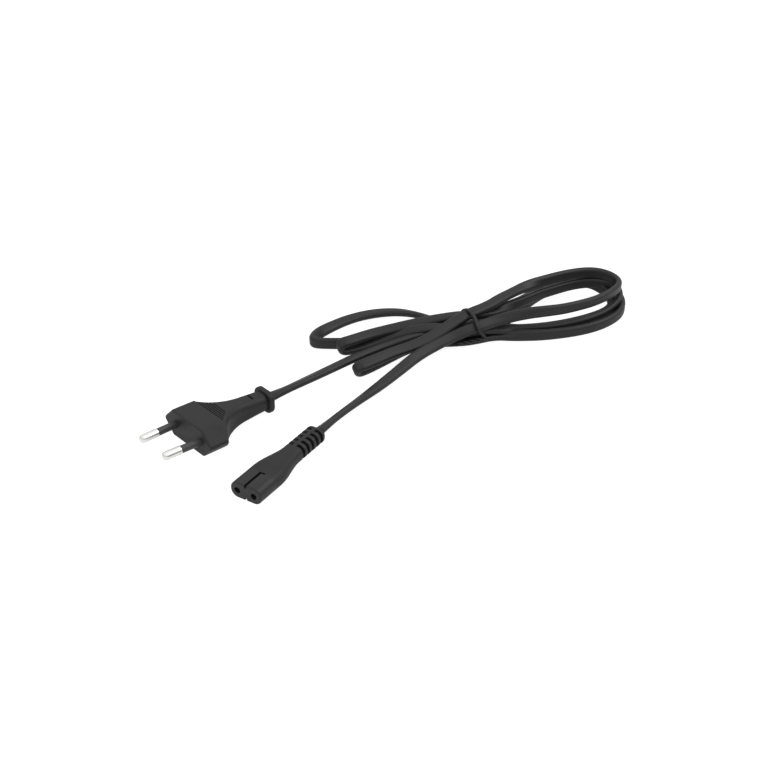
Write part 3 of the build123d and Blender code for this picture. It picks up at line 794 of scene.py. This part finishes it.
@dataclass
class TieWire:
    """Coated wire round the waist of the hank, its two ends twisted together along the near side.

    Its points are given as those of the hank are: along, across and up from the tie.
    """

    waist: Waist = field(default_factory=Waist)
    outline: tuple[Point, ...] = (
        (0.6, -5.0, 0.7), (0.4, 0.0, 0.55), (0.0, 6.4, 0.55), (-1.0, 8.6, 1.6), (-3.0, 8.5, 7.0),
        (-5.0, 8.9, 12.2), (-6.0, 6.6, 15.2), (-5.7, 3.2, 17.1), (-5.0, -1.4, 16.6), (-5.2, -6.0, 14.2),
        (-5.4, -9.2, 11.4), (-3.2, -9.0, 8.0), (-0.6, -7.9, 4.6), (0.6, -6.8, 2.0))
    rounds: int = 3
    corner_cut: float = 0.25
    band_width: float = 2.0
    band_thickness: float = 0.9
    band_points: int = 16
    tail_start: Point = (-1.9, -8.9, 5.2)
    tail_end: Point = (-18.0, -5.2, 3.4)
    tail_rings: int = 61
    wire: float = 1.1
    wire_points: int = 12
    twist_pitch: float = 7.0
    hank_axis: Point = (1.0, 0.0, 0.0)

    def band(self) -> np.ndarray:
        """Ring round the strands, with the flat of the band turned outwards.

        Each round cuts a quarter off both ends of every side of the outline, which makes it a smooth curve.

        Returns:
            Grid of points in millimetres, along, across and up, closed on itself.
        """
        ring = np.array(self.outline)
        keep = 1.0 - self.corner_cut
        for _ in range(self.rounds):
            after = np.roll(ring, -1, axis=0)
            pairs = [keep * ring + self.corner_cut * after, self.corner_cut * ring + keep * after]
            ring = np.stack(pairs, axis=1).reshape(-1, 3)
        ahead = unit(np.roll(ring, -1, axis=0) - np.roll(ring, 1, axis=0))
        out = unit(np.cross(np.array(self.hank_axis), ahead))
        wide = np.cross(out, ahead)
        grid = sweep(flat_oval(self.band_width, self.band_thickness, self.band_points), ring, wide, out)
        return np.concatenate([grid, grid[:1]])

    def twist(self, phase: float) -> np.ndarray:
        """One wire of the twisted tail: a circle carried along a helix about the tail's line.

        Args:
            phase: Where the wire starts round the tail, in radians.

        Returns:
            Grid of points in millimetres, along, across and up.
        """
        start, end = np.array(self.tail_start), np.array(self.tail_end)
        ahead = unit(end - start)
        side = unit(np.cross(ahead, np.array(self.hank_axis)))
        over = np.cross(ahead, side)
        s = np.linspace(0.0, float(np.linalg.norm(end - start)), self.tail_rings)[:, None]
        angle = math.tau * s / self.twist_pitch + phase
        path = start + s * ahead + self.wire / 2 * (np.cos(angle) * side + np.sin(angle) * over)
        tangent = unit(np.gradient(path, axis=0))
        first = unit(np.cross(tangent, np.array(self.hank_axis)))
        around = np.linspace(0.0, math.tau, self.wire_points, endpoint=False)
        circle = np.stack([np.cos(around), np.sin(around)], axis=-1) * self.wire / 2
        return sweep(circle, path, first, np.cross(tangent, first))

    def build(self, shelf: FinishShelf) -> list[bpy.types.Object]:
        """Make the band and the two twisted ends.

        Args:
            shelf: Finishes.

        Returns:
            The pieces of the tie.
        """
        grids = {"tie_band": self.band(), "tie_end_a": self.twist(0.0), "tie_end_b": self.twist(math.pi)}
        pieces = []
        for name, grid in grids.items():
            rings = self.waist.to_frame(grid.reshape(-1, 3)).reshape(grid.shape) * MM
            piece = GridMesh(name, rings, caps=name != "tie_band").build()
            piece.data.materials.append(shelf.get(FinishKind.TIE_PVC))
            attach(piece, BODY)
            pieces.append(piece)
            LOG.info("tie piece %s", name)
        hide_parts("twist_tie")
        return pieces


@dataclass
class PlugAndConnector:
    """Solids that keep their own shape, and the finish of each."""

    finishes: dict[str, FinishKind] = field(default_factory=lambda: {
        "plug_body": FinishKind.PLUG_PVC,
        "plug_bridge": FinishKind.CARRIER_PBT,
        "pin_left": FinishKind.PIN_NICKEL,
        "pin_right": FinishKind.PIN_NICKEL,
        "pin_sleeve_left": FinishKind.SLEEVE_POLYAMIDE,
        "pin_sleeve_right": FinishKind.SLEEVE_POLYAMIDE,
        "plug_core_brown": FinishKind.CORE_BROWN,
        "plug_core_blue": FinishKind.CORE_BLUE,
        "plug_conductor_brown": FinishKind.COPPER,
        "plug_conductor_blue": FinishKind.COPPER,
        "connector_body": FinishKind.PLUG_PVC,
        "connector_insert": FinishKind.NOSE_PVC,
        "contact_left": FinishKind.CONTACT_BRASS_PAINTED_SHADE,
        "contact_right": FinishKind.CONTACT_BRASS_PAINTED_SHADE,
        "connector_core_brown": FinishKind.CORE_BROWN,
        "connector_core_blue": FinishKind.CORE_BLUE,
        "connector_conductor_brown": FinishKind.COPPER,
        "connector_conductor_blue": FinishKind.COPPER,
    })

    def dress(self, shelf: FinishShelf) -> None:
        """Put each finish on its solid."""
        for node, kind in self.finishes.items():
            shelf.dress_node(node, kind)


@dataclass(frozen=True)
class SoftLamp:
    """Square studio lamp: its place, its side, its power in watts, and whether a gloss mirrors it."""

    name: str
    place: Point
    size: float
    power: float
    in_gloss: bool = False
    aim: Point = (90.0, -20.0, 0.0)

    def build(self) -> bpy.types.Object:
        """Make the lamp and turn it to its aim.

        Returns:
            The lamp object.
        """
        data = bpy.data.lights.new(self.name, "AREA")
        data.size = self.size * MM
        data.energy = self.power
        lamp = bpy.data.objects.new(self.name, data)
        place = Vector(self.place) * MM
        lamp.location = place
        lamp.rotation_euler = (Vector(self.aim) * MM - place).to_track_quat("-Z", "Y").to_euler()
        lamp.visible_glossy = self.in_gloss
        bpy.context.scene.collection.objects.link(lamp)
        return lamp


@dataclass
class Studio:
    """White floor, soft light and the camera at the photograph's angle."""

    azimuth: float = -42.4
    elevation: float = 32.5
    distance: float = 618.3
    focal_pixels: float = 1280.0
    sensor: float = 36.0
    clip_near: float = 10.0
    clip_far: float = 20000.0
    target: Point = (93.55, -21.2, 0.0)
    world_strength: float = 0.46
    gloss_horizon: float = 0.42
    gloss_top: float = 1.0
    gloss_top_height: float = 0.7
    floor_size: float = 6000.0
    floor_glow: float = 0.9
    floor_paint: float = 0.3
    floor_bounce: float = 0.75
    floor_gloss: float = 0.3
    white: Colour = grey(1.0)
    lamps: tuple[SoftLamp, ...] = (
        SoftLamp("key_lamp", (-570.0, -340.0, 320.0), size=520.0, power=4.4),
        SoftLamp("back_lamp", (-100.0, 480.0, 700.0), size=600.0, power=2.4),
        SoftLamp("side_lamp", (490.0, -315.0, 500.0), size=520.0, power=1.3, in_gloss=True),
    )

    def camera(self) -> bpy.types.Object:
        """Camera that looks at the target from the azimuth and elevation.

        Returns:
            The camera, set as the scene's own.
        """
        a, e = math.radians(self.azimuth), math.radians(self.elevation)
        forward = Vector((-math.sin(a) * math.cos(e), math.cos(a) * math.cos(e), -math.sin(e)))
        right = Vector((math.cos(a), math.sin(a), 0.0))
        up = right.cross(forward)
        data = bpy.data.cameras.new("photo_camera")
        data.sensor_width = self.sensor
        data.lens = self.focal_pixels / IMAGE_SIZE * self.sensor
        data.clip_start = self.clip_near * MM
        data.clip_end = self.clip_far * MM
        lens = bpy.data.objects.new("photo_camera", data)
        turn = Matrix((right, up, -forward)).transposed().to_4x4()
        lens.matrix_world = Matrix.Translation((Vector(self.target) - forward * self.distance) * MM) @ turn
        bpy.context.scene.collection.objects.link(lens)
        bpy.context.scene.camera = lens
        return lens

    def floor(self) -> bpy.types.Object:
        """White floor that keeps the object's shadow.

        The camera sees a paint that gives most of its white as its own light, and so does a gloss, by a
        share. All other light meets a plain pale paint.

        Returns:
            The floor.
        """
        half = self.floor_size / 2 * MM
        corners = [(-half, -half, 0), (half, -half, 0), (half, half, 0), (-half, half, 0)]
        mesh = bpy.data.meshes.new("studio_floor")
        mesh.from_pydata(corners, [], [(0, 1, 2, 3)])
        piece = bpy.data.objects.new("studio_floor", mesh)
        bpy.context.scene.collection.objects.link(piece)
        material = bpy.data.materials.new("studio_white_paint")
        material.use_nodes = True
        tree = material.node_tree
        tree.nodes.clear()
        path = add_node(tree, "ShaderNodeLightPath")
        bounce = add_node(tree, "ShaderNodeBsdfDiffuse", {"Color": grey(self.floor_bounce)})
        paint = add_node(tree, "ShaderNodeBsdfDiffuse", {"Color": grey(self.floor_paint)})
        glow = add_node(tree, "ShaderNodeEmission", {"Color": self.white, "Strength": self.floor_glow})
        white = add_node(tree, "ShaderNodeAddShader", {0: paint.outputs[0], 1: glow.outputs[0]})
        mirrored = add_node(tree, "ShaderNodeMath", {
            0: path.outputs["Is Glossy Ray"], 1: self.floor_gloss,
        }, operation="MULTIPLY")
        through = add_node(tree, "ShaderNodeMath", {
            0: path.outputs["Is Transmission Ray"], 1: mirrored.outputs[0],
        }, operation="MAXIMUM")
        shown = add_node(tree, "ShaderNodeMath", {
            0: path.outputs["Is Camera Ray"], 1: through.outputs[0],
        }, operation="MAXIMUM")
        mixed = add_node(tree, "ShaderNodeMixShader", {
            0: shown.outputs[0], 1: bounce.outputs[0], 2: white.outputs[0],
        })
        add_node(tree, "ShaderNodeOutputMaterial", {"Surface": mixed.outputs[0]})
        mesh.materials.append(material)
        return piece

    def world(self) -> None:
        """White surroundings: softer as light, and in a gloss darker towards the horizon."""
        world = bpy.data.worlds.new("studio_white")
        world.use_nodes = True
        tree = world.node_tree
        tree.nodes.clear()
        path = add_node(tree, "ShaderNodeLightPath")
        direction = add_node(tree, "ShaderNodeTexCoord").outputs["Generated"]
        height = add_node(tree, "ShaderNodeSeparateXYZ", {0: direction}).outputs["Z"]
        sky = add_node(tree, "ShaderNodeMapRange", {
            "Value": height, "From Min": 0.0, "From Max": self.gloss_top_height,
            "To Min": self.gloss_horizon, "To Max": self.gloss_top,
        })
        soft = add_node(tree, "ShaderNodeMapRange", {
            "Value": path.outputs["Is Glossy Ray"],
            "To Min": self.world_strength, "To Max": sky.outputs["Result"],
        })
        level = add_node(tree, "ShaderNodeMath", {
            0: soft.outputs["Result"], 1: path.outputs["Is Camera Ray"],
        }, operation="MAXIMUM")
        back = add_node(tree, "ShaderNodeBackground", {"Color": self.white, "Strength": level.outputs[0]})
        add_node(tree, "ShaderNodeOutputWorld", {"Surface": back.outputs[0]})
        bpy.context.scene.world = world

    def build(self) -> None:
        """Make floor, surroundings, lamps and camera, and leave colours as they are written."""
        self.floor()
        self.world()
        for lamp in self.lamps:
            lamp.build()
        self.camera()
        bpy.context.scene.view_settings.view_transform = "Standard"
        LOG.info("studio with %d lamps", len(self.lamps))


def main() -> None:
    """Build the flex, the tie, the finishes and the studio, in that order."""
    logging.basicConfig(level=logging.INFO, format="%(name)s %(message)s")
    shelf = FinishShelf()
    MainsFlex().build(shelf)
    TieWire().build(shelf)
    PlugAndConnector().dress(shelf)
    Studio().build()


if __name__ == "__main__":
    main()
